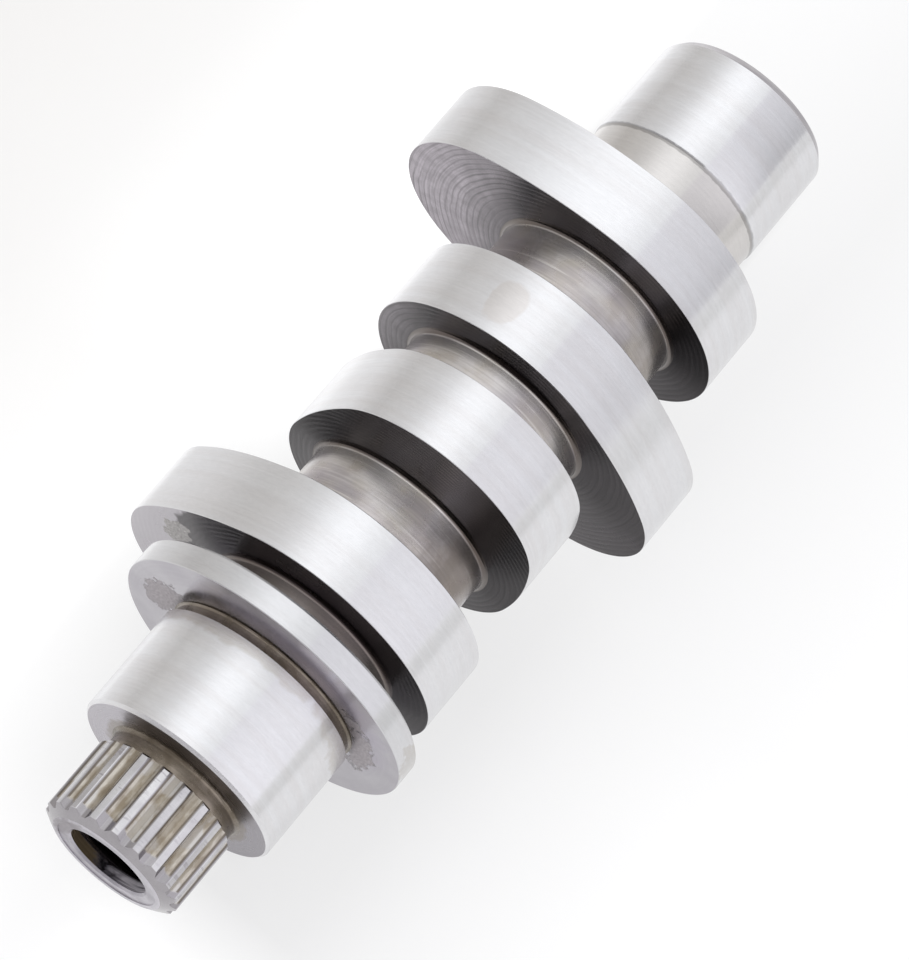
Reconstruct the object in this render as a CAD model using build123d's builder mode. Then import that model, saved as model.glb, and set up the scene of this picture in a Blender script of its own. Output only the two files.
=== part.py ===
from build123d import *
from math import atan2, cos, degrees, radians, sin, sqrt, tan
import os

# Camshaft with four lobes, turned and ground from one bar. Units are millimetres.
# The shaft axis is X. The origin is on that axis, in the face of the splined end, and +X runs
# towards the plain end. +Z is up as the shaft lies, with the nose of the second lobe on top.

# Splined nose that carries the drive gear
spline_length = 11.3
spline_teeth = 19
spline_major_diameter = 20.2
spline_root_diameter = 18.7
spline_land_width = 0.88
spline_root_width = 0.65
spline_gap_angle = 90.4
gap_cutter_overrun = 0.5
nose_face_diameter = 16.5
nose_lead_length = 1.0
tooth_end_chamfer = 0.3
relief_length = 2.3
relief_diameter = 18.6
relief_fillet = 0.6

# Threaded bolt hole in the splined end, modelled at the crest of its thread
bolt_hole_diameter = 11.5
bolt_hole_depth = 32.0
bolt_hole_mouth_chamfer = 0.3
drill_point_angle = 118.0
spot_face_diameter = 15.0
spot_face_depth = 0.15

# Outer journal, its grinding groove and the thrust flange
outer_journal_diameter = 28.4
outer_journal_length = 15.35
outer_journal_chamfer = 0.42
groove_width = 1.65
groove_diameter = 26.8
groove_corner_chamfer = 0.3
flange_diameter = 42.3
flange_thickness = 3.6
flange_front_break = 0.1
flange_back_chamfer = 0.35

# Lobes: each is a base circle, a nose circle and two flank arcs tangent to both
lobe_gap_from_flange = 4.65
lobe_width = 10.25
lobe_pitch = 19.4
lobe_lift = 9.43
outer_lobe_base_radius = 19.3
outer_lobe_nose_radius = 15.9
outer_lobe_flank_radius = 45.0
second_lobe_base_radius = 17.55
second_lobe_nose_radius = 15.85
second_lobe_flank_radius = 50.0
third_lobe_base_radius = 18.4
third_lobe_nose_radius = 15.0
third_lobe_flank_radius = 45.0

# Nose directions, in degrees from +Y towards +Z, counted from the splined end
first_nose_angle = -39.5
second_nose_angle = 96.0
third_nose_angle = -150.5
fourth_nose_angle = -3.0

# Necks and the inner journal
neck_diameter = 26.1
neck_corner_chamfer = 0.46
inner_neck_length = 8.3
inner_neck_diameter = 25.0
inner_journal_diameter = 25.4
inner_journal_length = 15.4
inner_journal_shoulder_chamfer = 0.15
end_chamfer_length = 1.1
end_chamfer_height = 0.8

# Lathe centre in the plain end
centre_mouth_diameter = 6.0
centre_pilot_diameter = 2.5
centre_pilot_depth = 6.0
centre_angle = 60.0

# How near an edge has to be to the place and radius it is looked for at
edge_tolerance = 0.01

# Nose direction, base radius, nose radius and flank radius of each lobe, from the splined end
lobes = (
    (first_nose_angle, outer_lobe_base_radius, outer_lobe_nose_radius, outer_lobe_flank_radius),
    (second_nose_angle, second_lobe_base_radius, second_lobe_nose_radius, second_lobe_flank_radius),
    (third_nose_angle, third_lobe_base_radius, third_lobe_nose_radius, third_lobe_flank_radius),
    (fourth_nose_angle, outer_lobe_base_radius, outer_lobe_nose_radius, outer_lobe_flank_radius),
)

# Places along the shaft that follow from the lengths above
journal_face = spline_length + relief_length
groove_start = journal_face + outer_journal_length
flange_front = groove_start + groove_width
flange_back = flange_front + flange_thickness
first_lobe = flange_back + lobe_gap_from_flange
lobe_fronts = [first_lobe + number * lobe_pitch for number in range(len(lobes))]
last_lobe_back = lobe_fronts[-1] + lobe_width
shoulder = last_lobe_back + inner_neck_length
shaft_end = shoulder + inner_journal_length

spline_radius = spline_major_diameter / 2
nose_face_radius = nose_face_diameter / 2
relief_radius = relief_diameter / 2
outer_journal_radius = outer_journal_diameter / 2
groove_radius = groove_diameter / 2
flange_radius = flange_diameter / 2
neck_radius = neck_diameter / 2
inner_neck_radius = inner_neck_diameter / 2
inner_journal_radius = inner_journal_diameter / 2


def lobe_section(station, nose_angle, base_radius, nose_radius, flank_radius):
    """Outline of one lobe, in the plane of its face that looks at the splined end."""
    nose_offset = base_radius + lobe_lift - nose_radius
    base_reach = flank_radius - base_radius
    nose_reach = flank_radius - nose_radius
    flank_x = (base_reach**2 - nose_reach**2 + nose_offset**2) / (2 * nose_offset)
    flank_y = sqrt(base_reach**2 - flank_x**2)
    start_angle = atan2(flank_y, -flank_x)
    stop_angle = atan2(flank_y, nose_offset - flank_x)
    middle_angle = (start_angle + stop_angle) / 2
    start = (base_radius * cos(start_angle), base_radius * sin(start_angle))
    middle = (flank_x + flank_radius * cos(middle_angle), flank_radius * sin(middle_angle) - flank_y)
    stop = (nose_offset + nose_radius * cos(stop_angle), nose_radius * sin(stop_angle))
    nose_direction = (0, cos(radians(nose_angle)), sin(radians(nose_angle)))
    face_plane = Plane(origin=(station, 0, 0), x_dir=nose_direction, z_dir=(1, 0, 0))
    with BuildSketch(face_plane) as section:
        with BuildLine():
            ThreePointArc(start, middle, stop)
            mirror(about=Plane.XZ)
            ThreePointArc(stop, (nose_offset + nose_radius, 0), (stop[0], -stop[1]))
            ThreePointArc(start, (-base_radius, 0), (start[0], -start[1]))
        make_face()
    return section.sketch


def edges_at(part, station, radius):
    """Circular edges of one radius, centred on the axis, at one place along the shaft."""
    rings = part.edges().filter_by(GeomType.CIRCLE)
    rings = rings.filter_by_position(Axis.X, station - edge_tolerance, station + edge_tolerance)
    return rings.filter_by(lambda ring: abs(ring.radius - radius) < edge_tolerance)


with BuildPart() as camshaft:
    # Turned blank: the half section above the axis
    with BuildSketch(Plane.XZ):
        with BuildLine():
            Polyline(
                (0, 0),
                (0, nose_face_radius),
                (nose_lead_length, spline_radius),
                (spline_length - tooth_end_chamfer, spline_radius),
                (spline_length, spline_radius - tooth_end_chamfer),
                (spline_length, relief_radius),
                (journal_face, relief_radius),
                (journal_face, outer_journal_radius - outer_journal_chamfer),
                (journal_face + outer_journal_chamfer, outer_journal_radius),
                (groove_start, outer_journal_radius),
                (groove_start, groove_radius),
                (flange_front, groove_radius),
                (flange_front, flange_radius - flange_front_break),
                (flange_front + flange_front_break, flange_radius),
                (flange_back - flange_back_chamfer, flange_radius),
                (flange_back, flange_radius - flange_back_chamfer),
                (flange_back, neck_radius),
                (last_lobe_back - lobe_width / 2, neck_radius),
                (last_lobe_back - lobe_width / 2, inner_neck_radius),
                (shoulder, inner_neck_radius),
                (shoulder, inner_journal_radius - inner_journal_shoulder_chamfer),
                (shoulder + inner_journal_shoulder_chamfer, inner_journal_radius),
                (shaft_end - end_chamfer_length, inner_journal_radius),
                (shaft_end, inner_journal_radius - end_chamfer_height),
                (shaft_end, 0),
                close=True,
            )
        make_face()
    revolve(axis=Axis.X)

    # Lobes
    for lobe_front, lobe in zip(lobe_fronts, lobes):
        extrude(lobe_section(lobe_front, *lobe), amount=lobe_width)

    # Small corners left where the necks meet the flange and the lobes, here as plain chamfers
    neck_corners = edges_at(camshaft, flange_back, neck_radius)
    for lobe_front in lobe_fronts:
        neck_corners += edges_at(camshaft, lobe_front, neck_radius)
        neck_corners += edges_at(camshaft, lobe_front + lobe_width, neck_radius)
    neck_corners += edges_at(camshaft, last_lobe_back, inner_neck_radius)
    chamfer(neck_corners, length=neck_corner_chamfer)
    chamfer(edges_at(camshaft, flange_front, groove_radius), length=groove_corner_chamfer)
    fillet(edges_at(camshaft, journal_face, relief_radius), radius=relief_fillet)

    # Spline gaps, cut from the end face into the relief
    with BuildSketch(Plane.YZ):
        with PolarLocations(0, spline_teeth, start_angle=spline_gap_angle):
            root_reach = spline_root_diameter / 2
            land_half_angle = degrees(spline_land_width / spline_major_diameter)
            gap_half_angle = 180 / spline_teeth - land_half_angle
            mouth_reach = spline_radius * cos(radians(gap_half_angle))
            mouth_width = 2 * spline_radius * sin(radians(gap_half_angle))
            flank_slope = (mouth_width - spline_root_width) / (mouth_reach - root_reach)
            rim_reach = spline_radius + gap_cutter_overrun
            rim_width = spline_root_width + flank_slope * (rim_reach - root_reach)
            Polygon(
                (root_reach, -spline_root_width / 2),
                (rim_reach, -rim_width / 2),
                (rim_reach, rim_width / 2),
                (root_reach, spline_root_width / 2),
                align=None,
            )
    extrude(amount=spline_length, mode=Mode.SUBTRACT)

    # Bolt hole with its spot face, mouth chamfer and drill point
    with BuildSketch(Plane.XZ):
        with BuildLine():
            hole_radius = bolt_hole_diameter / 2
            drill_point = hole_radius / tan(radians(drill_point_angle / 2))
            Polyline(
                (0, 0),
                (0, spot_face_diameter / 2),
                (spot_face_depth, spot_face_diameter / 2),
                (spot_face_depth, hole_radius + bolt_hole_mouth_chamfer),
                (spot_face_depth + bolt_hole_mouth_chamfer, hole_radius),
                (bolt_hole_depth, hole_radius),
                (bolt_hole_depth + drill_point, 0),
                close=True,
            )
        make_face()
    revolve(axis=Axis.X, mode=Mode.SUBTRACT)

    # Lathe centre
    with Locations(Plane.YZ.offset(shaft_end)):
        CounterSinkHole(
            radius=centre_pilot_diameter / 2,
            counter_sink_radius=centre_mouth_diameter / 2,
            depth=centre_pilot_depth,
            counter_sink_angle=centre_angle,
        )

camshaft.part.label = "camshaft"
os.makedirs("parts", exist_ok=True)
export_step(camshaft.part, "parts/camshaft.step")
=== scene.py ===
from math import atan2, cos, pi, radians, sin, sqrt, tan

import bmesh
import bpy
from mathutils import Matrix, Vector


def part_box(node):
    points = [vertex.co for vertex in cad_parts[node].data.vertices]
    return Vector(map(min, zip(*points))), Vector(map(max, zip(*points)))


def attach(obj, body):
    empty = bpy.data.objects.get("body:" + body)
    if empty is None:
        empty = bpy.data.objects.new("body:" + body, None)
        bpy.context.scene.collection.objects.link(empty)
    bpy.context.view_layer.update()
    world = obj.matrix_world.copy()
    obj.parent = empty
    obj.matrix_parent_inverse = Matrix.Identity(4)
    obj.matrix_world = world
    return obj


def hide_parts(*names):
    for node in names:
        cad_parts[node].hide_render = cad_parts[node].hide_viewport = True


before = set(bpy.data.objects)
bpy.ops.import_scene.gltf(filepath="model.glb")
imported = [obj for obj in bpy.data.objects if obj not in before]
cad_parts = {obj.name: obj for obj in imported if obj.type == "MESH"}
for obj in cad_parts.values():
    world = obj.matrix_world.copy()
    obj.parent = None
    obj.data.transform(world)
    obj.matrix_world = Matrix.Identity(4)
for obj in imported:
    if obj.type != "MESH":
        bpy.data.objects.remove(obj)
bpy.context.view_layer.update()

bl_info = {
    "name": "Camshaft",
    "version": (1, 0, 0),
    "blender": (4, 5, 0),
    "location": "View3D > Sidebar > Camshaft",
    "description": "Models and finishes a one-piece camshaft with four lobes",
    "category": "Add Mesh",
}

MM = 0.001

# Points round the shaft: twenty to each spline tooth, so the teeth share the shaft's own points
POINTS_PER_TOOTH = 20

# Sizes in millimetres, the same as those of the solid model
SIZES = (
    ("spline_length", "Spline length", "From the end face to the far end of the teeth", 11.3),
    ("spline_major_diameter", "Spline diameter", "Over the lands of the teeth", 20.2),
    ("spline_root_diameter", "Spline root diameter", "Across the bottoms of the gaps", 18.7),
    ("spline_land_width", "Land width", "Width of a tooth at its top", 0.88),
    ("spline_root_width", "Root width", "Width of the flat bottom of a gap", 0.65),
    ("nose_face_diameter", "Nose face diameter", "Outside of the end face", 16.5),
    ("nose_lead_length", "Nose lead length", "Length of the lead cone on the teeth", 1.0),
    ("tooth_end_chamfer", "Tooth end chamfer", "Chamfer at the far end of the teeth", 0.3),
    ("relief_length", "Relief length", "From the teeth to the gear seat", 2.3),
    ("relief_diameter", "Relief diameter", "Diameter behind the teeth", 18.6),
    ("relief_fillet", "Relief fillet", "Corner radius at the gear seat", 0.6),
    ("bolt_hole_diameter", "Bolt hole diameter", "Across the crests of the thread", 11.5),
    ("bolt_hole_depth", "Bolt hole depth", "From the end face to the full diameter's end", 32.0),
    ("thread_pitch", "Thread pitch", "Length of one turn of the thread", 1.27),
    ("thread_depth", "Thread depth", "From the crest to the root of the thread", 0.6),
    ("threaded_length", "Threaded length", "How far in the thread runs", 24.0),
    ("plain_mouth_length", "Plain mouth", "Plain part of the hole before the thread", 2.1),
    ("spot_face_diameter", "Spot face diameter", "Shallow recess round the bolt hole", 15.0),
    ("spot_face_depth", "Spot face depth", "Depth of that recess", 0.15),
    ("outer_journal_diameter", "Outer journal diameter", "Journal beside the spline", 28.4),
    ("outer_journal_length", "Outer journal length", "From the gear seat to the groove", 15.35),
    ("outer_journal_chamfer", "Outer journal chamfer", "Lead chamfer of the outer journal", 0.42),
    ("groove_width", "Groove width", "Grinding relief beside the flange", 1.65),
    ("groove_diameter", "Groove diameter", "Across the bottom of the grinding relief", 26.8),
    ("groove_fillet", "Groove fillet", "Corner radius of the relief at the flange", 0.45),
    ("flange_diameter", "Flange diameter", "Thrust flange", 42.3),
    ("flange_thickness", "Flange thickness", "Thrust flange", 3.6),
    ("flange_back_chamfer", "Flange chamfer", "On the back edge of the flange", 0.35),
    ("lobe_gap_from_flange", "First gap", "From the flange to the first lobe", 4.65),
    ("lobe_width", "Lobe width", "Width of each lobe", 10.25),
    ("lobe_pitch", "Lobe pitch", "From one lobe to the next", 19.4),
    ("lobe_lift", "Lobe lift", "Nose height over the base circle", 9.43),
    ("neck_diameter", "Neck diameter", "Between the lobes", 26.1),
    ("neck_fillet", "Neck fillet", "Corner radius where a neck meets a lobe", 0.7),
    ("inner_neck_length", "Inner neck length", "From the last lobe to the inner journal", 8.3),
    ("inner_neck_diameter", "Inner neck diameter", "Beside the inner journal", 25.0),
    ("inner_journal_diameter", "Inner journal diameter", "Journal at the plain end", 25.4),
    ("inner_journal_length", "Inner journal length", "Journal at the plain end", 15.4),
    ("end_chamfer_length", "End chamfer length", "Lead chamfer of the inner journal", 1.1),
    ("end_chamfer_height", "End chamfer height", "Lead chamfer of the inner journal", 0.8),
    ("edge_break", "Edge break", "Small chamfer on ground edges", 0.07),
)

# In millimetres: how far the piece keeps inside the solid at its faceted round edges and its plain end
RIM_ALLOWANCE = 0.012
END_ALLOWANCE = 0.002

# Points nearer than this are one point
WELD_DISTANCE = 0.002 * MM

# The gap's angle is in degrees from +Y towards +Z
SPLINE_TEETH = 19
SPLINE_GAP_ANGLE = 90.4

# Thread outline: shares of the pitch and of the thread's depth. The wall has this many points round it
THREAD_OUTLINE = ((0.0, 0.0), (0.29, 0.0), (0.56, 1.0), (0.73, 1.0), (1.0, 0.0))
BORE_POINTS = 96
DRILL_HALF_ANGLE = 59.0

# In millimetres: the hole's wall stays open for this much behind the thread until it is bridged
THREAD_RUNOUT = 0.4
BRIDGE_MARGIN = 0.2

# In millimetres: how far the teeth's corners are softened
TOOTH_SOFTNESS = 0.04

# Lathe centre in the plain end: radii and depths in millimetres, half the cone's angle in degrees
CENTRE_MOUTH_RADIUS = 3.0
CENTRE_PILOT_RADIUS = 1.25
CENTRE_DEPTH = 6.0
CENTRE_TIP = 0.7
CENTRE_HALF_ANGLE = 30.0

# In degrees: edges sharper than this stay sharp
SMOOTH_ANGLE = 28.0

# Camera as solved from the shaft's own circles in the photo, in metres and millimetres of lens
CAMERA_PLACE = (-0.16565, -0.00231, 0.6353)
CAMERA_RIGHT = (0.6052, -0.7647, 0.2212)
CAMERA_BACK = (-0.3433, 0.0, 0.9392)
CAMERA_LENS = 203.15
CAMERA_SENSOR = 36.0

# Nose direction in degrees from +Y towards +Z, then base, nose and flank radius in millimetres
LOBES = (
    (-39.5, 19.3, 15.9, 45.0),
    (96.0, 17.55, 15.85, 50.0),
    (-150.5, 18.4, 15.0, 45.0),
    (-3.0, 19.3, 15.9, 45.0),
)


def linear(code):
    """Linear colour of an sRGB hex code such as "c8c4c0"."""
    parts = [int(code[place:place + 2], 16) / 255 for place in (0, 2, 4)]
    return [part / 12.92 if part <= 0.04045 else ((part + 0.055) / 1.055) ** 2.4 for part in parts]


COLOURS = (
    ("ground_colour", "Ground steel", "Journals, lobe rims and flange", "dadadc"),
    # The lobe sides' dark colour is partly an oxide layer and partly painted shade
    ("oxide_colour", "Oxide film", "Film on the lobe sides from heat treatment", "3d383b"),
    ("turned_colour", "Turned steel", "Necks between the lobes", "c2bebc"),
    ("stain_colour", "Oil stain", "Dried oil in the spline gaps and corners", "6e6047"),
)


class CamshaftSizes(bpy.types.PropertyGroup):
    """Sizes of the camshaft."""

    __annotations__ = {
        key: bpy.props.FloatProperty(name=label, description=words, default=size * MM, unit="LENGTH", precision=5)
        for key, label, words, size in SIZES
    }


class CamshaftColours(bpy.types.PropertyGroup):
    """Colours of the camshaft's finishes."""

    __annotations__ = {
        key: bpy.props.FloatVectorProperty(
            name=label, description=words, default=linear(code), subtype="COLOR", size=3
        )
        for key, label, words, code in COLOURS
    }


def section_rows(size):
    """The half section from the mouth of the bolt hole to the lathe centre in the plain end.

    Each row is (x, radius, shape, finish) in millimetres. The finish covers the band up to the next row."""
    rows = []

    def add(x, radius, finish, shape=("round", 0.0)):
        rows.append((x, radius, shape, finish))

    def add_run(finish, *points):
        for x, radius in points:
            add(x, radius, finish)

    def add_arc(centre_x, centre_r, radius, start, finish, steps=6):
        """A quarter turn without its first point, from an angle in degrees measured from +x towards +r."""
        for step in range(1, steps + 1):
            angle = radians(start + 90 * step / steps)
            add(centre_x + radius * cos(angle), centre_r + radius * sin(angle), finish)

    def change_finish(finish):
        rows[-1] = rows[-1][:3] + (finish,)

    edge = size["edge_break"]
    bolt = size["bolt_hole_diameter"] / 2
    spot = size["spot_face_diameter"] / 2
    nose = size["nose_face_diameter"] / 2
    land = size["spline_major_diameter"] / 2
    root = size["spline_root_diameter"] / 2
    relief = size["relief_diameter"] / 2
    journal = size["outer_journal_diameter"] / 2
    groove = size["groove_diameter"] / 2
    flange = size["flange_diameter"] / 2
    neck = size["neck_diameter"] / 2
    inner_neck = size["inner_neck_diameter"] / 2
    inner_journal = size["inner_journal_diameter"] / 2
    depth = size["spot_face_depth"]

    # Spot face, end face and lead cone, with small breaks on their edges
    mouth = 0.3
    add(depth + mouth + 0.05, bolt, "tapped_bore")
    add_run("faced_nose", (depth + mouth, bolt), (depth, bolt + mouth), (depth, spot - 0.05), (depth - 0.04, spot))
    add_run("faced_nose", (0.03, spot), (0.0, spot + 0.04), (0.0, nose - 0.05))
    add(0.03, nose + 0.03, "cut_spline")
    slope = (land - nose) / size["nose_lead_length"]
    add(0.3, nose + slope * 0.3, "cut_spline", ("round", 0.5))
    teeth_start = (root + 0.006 - nose) / slope
    add(teeth_start - 0.02, root - 0.03, "cut_spline", ("round", 1.0))
    for share in (0.0, 0.2, 0.4, 0.6, 0.8, 1.0):
        x = teeth_start + (size["nose_lead_length"] - teeth_start) * share
        radius = nose + slope * x
        add(x, radius, "cut_spline", ("teeth", radius))

    # Teeth, relief and gear seat
    end = size["spline_length"]
    chamfer = size["tooth_end_chamfer"]
    for x in (1.06, 3.5, 6.0, 8.5, end - chamfer):
        add(x, land, "cut_spline", ("teeth", land))
    add(end, land - chamfer, "cut_spline", ("teeth", land - chamfer))
    add(end, relief, "stained_corner", ("round", 1.0))
    seat = end + size["relief_length"]
    fillet = size["relief_fillet"]
    add((end + seat - fillet) / 2, relief, "stained_corner", ("round", 0.5))
    add(seat - fillet, relief, "stained_corner")
    add_arc(seat - fillet, relief + fillet, fillet, -90, "stained_corner")
    change_finish("ground_seat")
    chamfer = size["outer_journal_chamfer"]
    add(seat, journal - chamfer, "ground_steel")
    add(seat + chamfer, journal, "ground_steel")

    # Outer journal, grinding relief and flange
    stop = seat + size["outer_journal_length"]
    add((seat + stop) / 2, journal, "ground_steel")
    small = 0.2
    add_run("stained_corner", (stop - edge, journal), (stop, journal - edge), (stop, groove + small))
    add_arc(stop + small, groove + small, small, 180, "stained_corner", 4)
    front = stop + size["groove_width"]
    fillet = size["groove_fillet"]
    add(front - fillet, groove, "stained_corner")
    add_arc(front - fillet, groove + fillet, fillet, -90, "stained_corner")
    change_finish("ground_flange_face")
    front_break = 0.1
    back = front + size["flange_thickness"]
    chamfer = size["flange_back_chamfer"]
    add_run("ground_steel", (front, flange - front_break), (front + front_break, flange), (back - chamfer, flange))
    add(back, flange - chamfer, "ground_flange_face")

    # Necks and lobes
    fillet = size["neck_fillet"]
    add(back, neck + fillet, "turned_neck")
    add_arc(back + fillet, neck + fillet, fillet, 180, "turned_neck")
    for number in range(len(LOBES)):
        near = back + size["lobe_gap_from_flange"] + number * size["lobe_pitch"]
        far = near + size["lobe_width"]
        add(near - fillet, neck, "turned_neck")
        add_arc(near - fillet, neck + fillet, fillet, -90, "turned_neck")
        change_finish("oxide_and_shade_lobe_side")
        add(near, 0, "ground_steel", ("lobe", number, edge))
        for x in (near + edge, (near + far) / 2, far - edge):
            add(x, 0, "ground_steel", ("lobe", number, 0.0))
        add(far, 0, "oxide_and_shade_lobe_side", ("lobe", number, edge))
        foot = inner_neck if number == len(LOBES) - 1 else neck
        add(far, foot + fillet, "turned_neck")
        add_arc(far + fillet, foot + fillet, fillet, 180, "turned_neck")
    change_finish("ground_steel")

    # Inner journal with its soft shoulder, plain end and lathe centre
    shoulder = far + size["inner_neck_length"]
    for x, share in ((-0.22, 0.0), (-0.09, 0.2), (0.09, 0.8), (0.22, 1.0)):
        add(shoulder + x, inner_neck + (inner_journal - inner_neck) * share, "ground_steel")
    last = shoulder + size["inner_journal_length"] - END_ALLOWANCE
    add((shoulder + last) / 2, inner_journal, "ground_steel")
    cone = (CENTRE_MOUTH_RADIUS - CENTRE_PILOT_RADIUS) / tan(radians(CENTRE_HALF_ANGLE))
    add_run(
        "faced_plain_end",
        (last - size["end_chamfer_length"], inner_journal),
        (last, inner_journal - size["end_chamfer_height"]),
        (last, CENTRE_MOUTH_RADIUS),
        (last - cone, CENTRE_PILOT_RADIUS),
        (last - CENTRE_DEPTH, CENTRE_PILOT_RADIUS),
        (last - CENTRE_DEPTH - CENTRE_TIP, 0.0),
    )
    return rows


def lobe_radius(number, lift, angle):
    """Radius in millimetres of one lobe in a direction given in degrees from +Y towards +Z."""
    nose_angle, base, nose, flank = LOBES[number]
    turn = abs((angle - nose_angle + 180) % 360 - 180)
    offset = base + lift - nose
    flank_x = ((flank - base) ** 2 - (flank - nose) ** 2 + offset ** 2) / (2 * offset)
    flank_y = sqrt((flank - base) ** 2 - flank_x ** 2)
    base_end = atan2(flank_y, -flank_x)
    nose_direction = atan2(flank_y, offset - flank_x)
    nose_end = atan2(nose * sin(nose_direction), offset + nose * cos(nose_direction))
    turn = radians(turn)
    if turn >= base_end:
        return base
    if turn <= nose_end:
        return offset * cos(turn) + sqrt(nose ** 2 - (offset * sin(turn)) ** 2)
    along = cos(turn) * flank_x - sin(turn) * flank_y
    return along + sqrt(along ** 2 - flank_x ** 2 - flank_y ** 2 + flank ** 2)


def tooth_point(size, reach, place):
    """(angle in degrees from the gap's middle, radius) of one of the twenty points of a tooth cut off at reach."""
    root = size["spline_root_diameter"] / 2
    root_half = size["spline_root_width"] / 2
    land = size["spline_major_diameter"] / 2
    gap_half = pi / SPLINE_TEETH - size["spline_land_width"] / 2 / land
    slope = (land * sin(gap_half) - root_half) / (land * cos(gap_half) - root)
    a = 1 + slope ** 2
    b = root + slope * root_half
    rise = (-b + sqrt(b * b - a * (root ** 2 + root_half ** 2 - reach ** 2))) / a
    soft = min(TOOTH_SOFTNESS, 0.3 * rise)
    side = 1
    if place > POINTS_PER_TOOTH // 2:
        place = POINTS_PER_TOOTH - place
        side = -1
    if place <= 2:
        across = (0.0, 0.6 * root_half, root_half - soft)[place]
        angle = atan2(across, root)
        radius = sqrt(root ** 2 + across ** 2)
    elif place <= 6:
        up = (soft, rise / 3, rise * 2 / 3, rise - soft)[place - 3]
        angle = atan2(root_half + slope * up, root + up)
        radius = sqrt((root_half + slope * up) ** 2 + (root + up) ** 2)
    else:
        crest = atan2(root_half + slope * rise, root + rise) + soft / reach
        share = (place - 7) / 3
        angle = crest + (pi / SPLINE_TEETH - crest) * share
        radius = reach
    return side * angle * 180 / pi, radius


def row_point(size, row, index, count):
    """Place of one point of one row, in millimetres."""
    x, radius, shape, finish = row
    angle = SPLINE_GAP_ANGLE + index * 360 / count
    tooth, place = divmod(index, POINTS_PER_TOOTH)
    pitch = 360 / SPLINE_TEETH
    if place > POINTS_PER_TOOTH // 2:
        tooth += 1
    if shape[0] == "teeth":
        turn, radius = tooth_point(size, shape[1], place)
        angle = SPLINE_GAP_ANGLE + tooth * pitch + turn
    elif shape[0] == "lobe":
        radius = lobe_radius(shape[1], size["lobe_lift"], angle) - shape[2] - RIM_ALLOWANCE
    elif shape[1]:
        # Beside the teeth, the points of a round row move towards those of the teeth a little below their tops
        turn = tooth_point(size, size["spline_major_diameter"] / 2 - 0.3, place)[0]
        angle += shape[1] * (SPLINE_GAP_ANGLE + tooth * pitch + turn - angle)
    return x, radius * cos(radians(angle)), radius * sin(radians(angle))


def new_piece(name):
    """A mesh object with one vertex at the origin, active and in edit mode."""
    bpy.ops.object.select_all(action="DESELECT")
    bpy.ops.mesh.primitive_plane_add(size=MM, location=(0, 0, 0))
    piece = bpy.context.object
    piece.name = name
    piece.data.name = name
    bpy.ops.object.mode_set(mode="EDIT")
    bpy.ops.mesh.select_all(action="SELECT")
    bpy.ops.mesh.merge(type="CENTER")
    return piece


def weld():
    """Merges the points of the mesh in edit mode that lie together."""
    bpy.ops.mesh.select_all(action="SELECT")
    bpy.ops.mesh.remove_doubles(threshold=WELD_DISTANCE)


def spin_round(steps):
    """Spins the chain in edit mode once round the shaft's axis."""
    bpy.ops.mesh.select_all(action="SELECT")
    bpy.ops.mesh.spin(steps=steps, angle=2 * pi, center=(0, 0, 0), axis=(1, 0, 0), use_auto_merge=True)
    weld()


def draw_chain(points):
    """Moves the one vertex in edit mode to the first point and extrudes it from point to point, in metres."""
    mesh = bmesh.from_edit_mesh(bpy.context.object.data)
    mesh.verts.ensure_lookup_table()
    mesh.verts[0].co = points[0]
    bmesh.update_edit_mesh(bpy.context.object.data)
    here = Vector(points[0])
    for point in points[1:]:
        bpy.ops.mesh.extrude_region_move(TRANSFORM_OT_translate={"value": Vector(point) - here})
        here = Vector(point)


def turn_blank(size):
    """The shaft without its thread: the half section is drawn, spun round the axis and given its lobes and teeth."""
    rows = section_rows(size)
    count = POINTS_PER_TOOTH * SPLINE_TEETH
    piece = new_piece("camshaft_body")
    start = radians(SPLINE_GAP_ANGLE)
    stand_in = 10.0  # for the lobes' rows and the pole, which get their own radius below
    draw_chain([
        (x * MM, (radius or stand_in) * cos(start) * MM, (radius or stand_in) * sin(start) * MM)
        for x, radius, shape, finish in rows
    ])
    mesh = bmesh.from_edit_mesh(piece.data)
    layer = mesh.verts.layers.int.new("row")
    mesh.verts.ensure_lookup_table()
    for number, vertex in enumerate(mesh.verts):
        vertex[layer] = number
    bmesh.update_edit_mesh(piece.data)
    spin_round(count)
    mesh = bmesh.from_edit_mesh(piece.data)
    layer = mesh.verts.layers.int["row"]
    for vertex in mesh.verts:
        row = rows[vertex[layer]]
        turn = atan2(vertex.co.z, vertex.co.y) - start
        index = round(turn / (2 * pi) * count) % count
        vertex.co = Vector(row_point(size, row, index, count)) * MM
    for face in mesh.faces:
        band = min(vertex[layer] for vertex in face.verts)
        face.material_index = FINISHES.index(rows[band][3])
    bmesh.update_edit_mesh(piece.data)
    weld()
    bpy.ops.object.mode_set(mode="OBJECT")
    return piece


def tap_thread(size):
    """The wall of the bolt hole: one turn of the thread's outline, screwed along the axis and cut off square."""
    piece = new_piece("bolt_thread")
    crest = size["bolt_hole_diameter"] / 2
    depth = size["thread_depth"]
    pitch = size["thread_pitch"]
    draw_chain([((x - 1) * pitch * MM, (crest + out * depth) * MM, 0.0) for x, out in THREAD_OUTLINE])
    bpy.ops.object.mode_set(mode="OBJECT")
    screw = piece.modifiers.new("thread", "SCREW")
    screw.axis = "X"
    screw.steps = BORE_POINTS
    screw.render_steps = BORE_POINTS
    screw.iterations = round(size["threaded_length"] / pitch) + 2
    screw.screw_offset = pitch * MM
    screw.use_merge_vertices = True
    screw.merge_threshold = 0.001 * MM
    bpy.ops.object.modifier_apply(modifier="thread")
    bpy.ops.object.mode_set(mode="EDIT")
    for x, inner in ((size["plain_mouth_length"], True), (size["threaded_length"], False)):
        bpy.ops.mesh.select_all(action="SELECT")
        bpy.ops.mesh.bisect(
            plane_co=(x * MM, 0, 0), plane_no=(1, 0, 0), clear_inner=inner, clear_outer=not inner, threshold=1e-7
        )
    weld()
    bpy.ops.object.mode_set(mode="OBJECT")
    return piece


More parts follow.
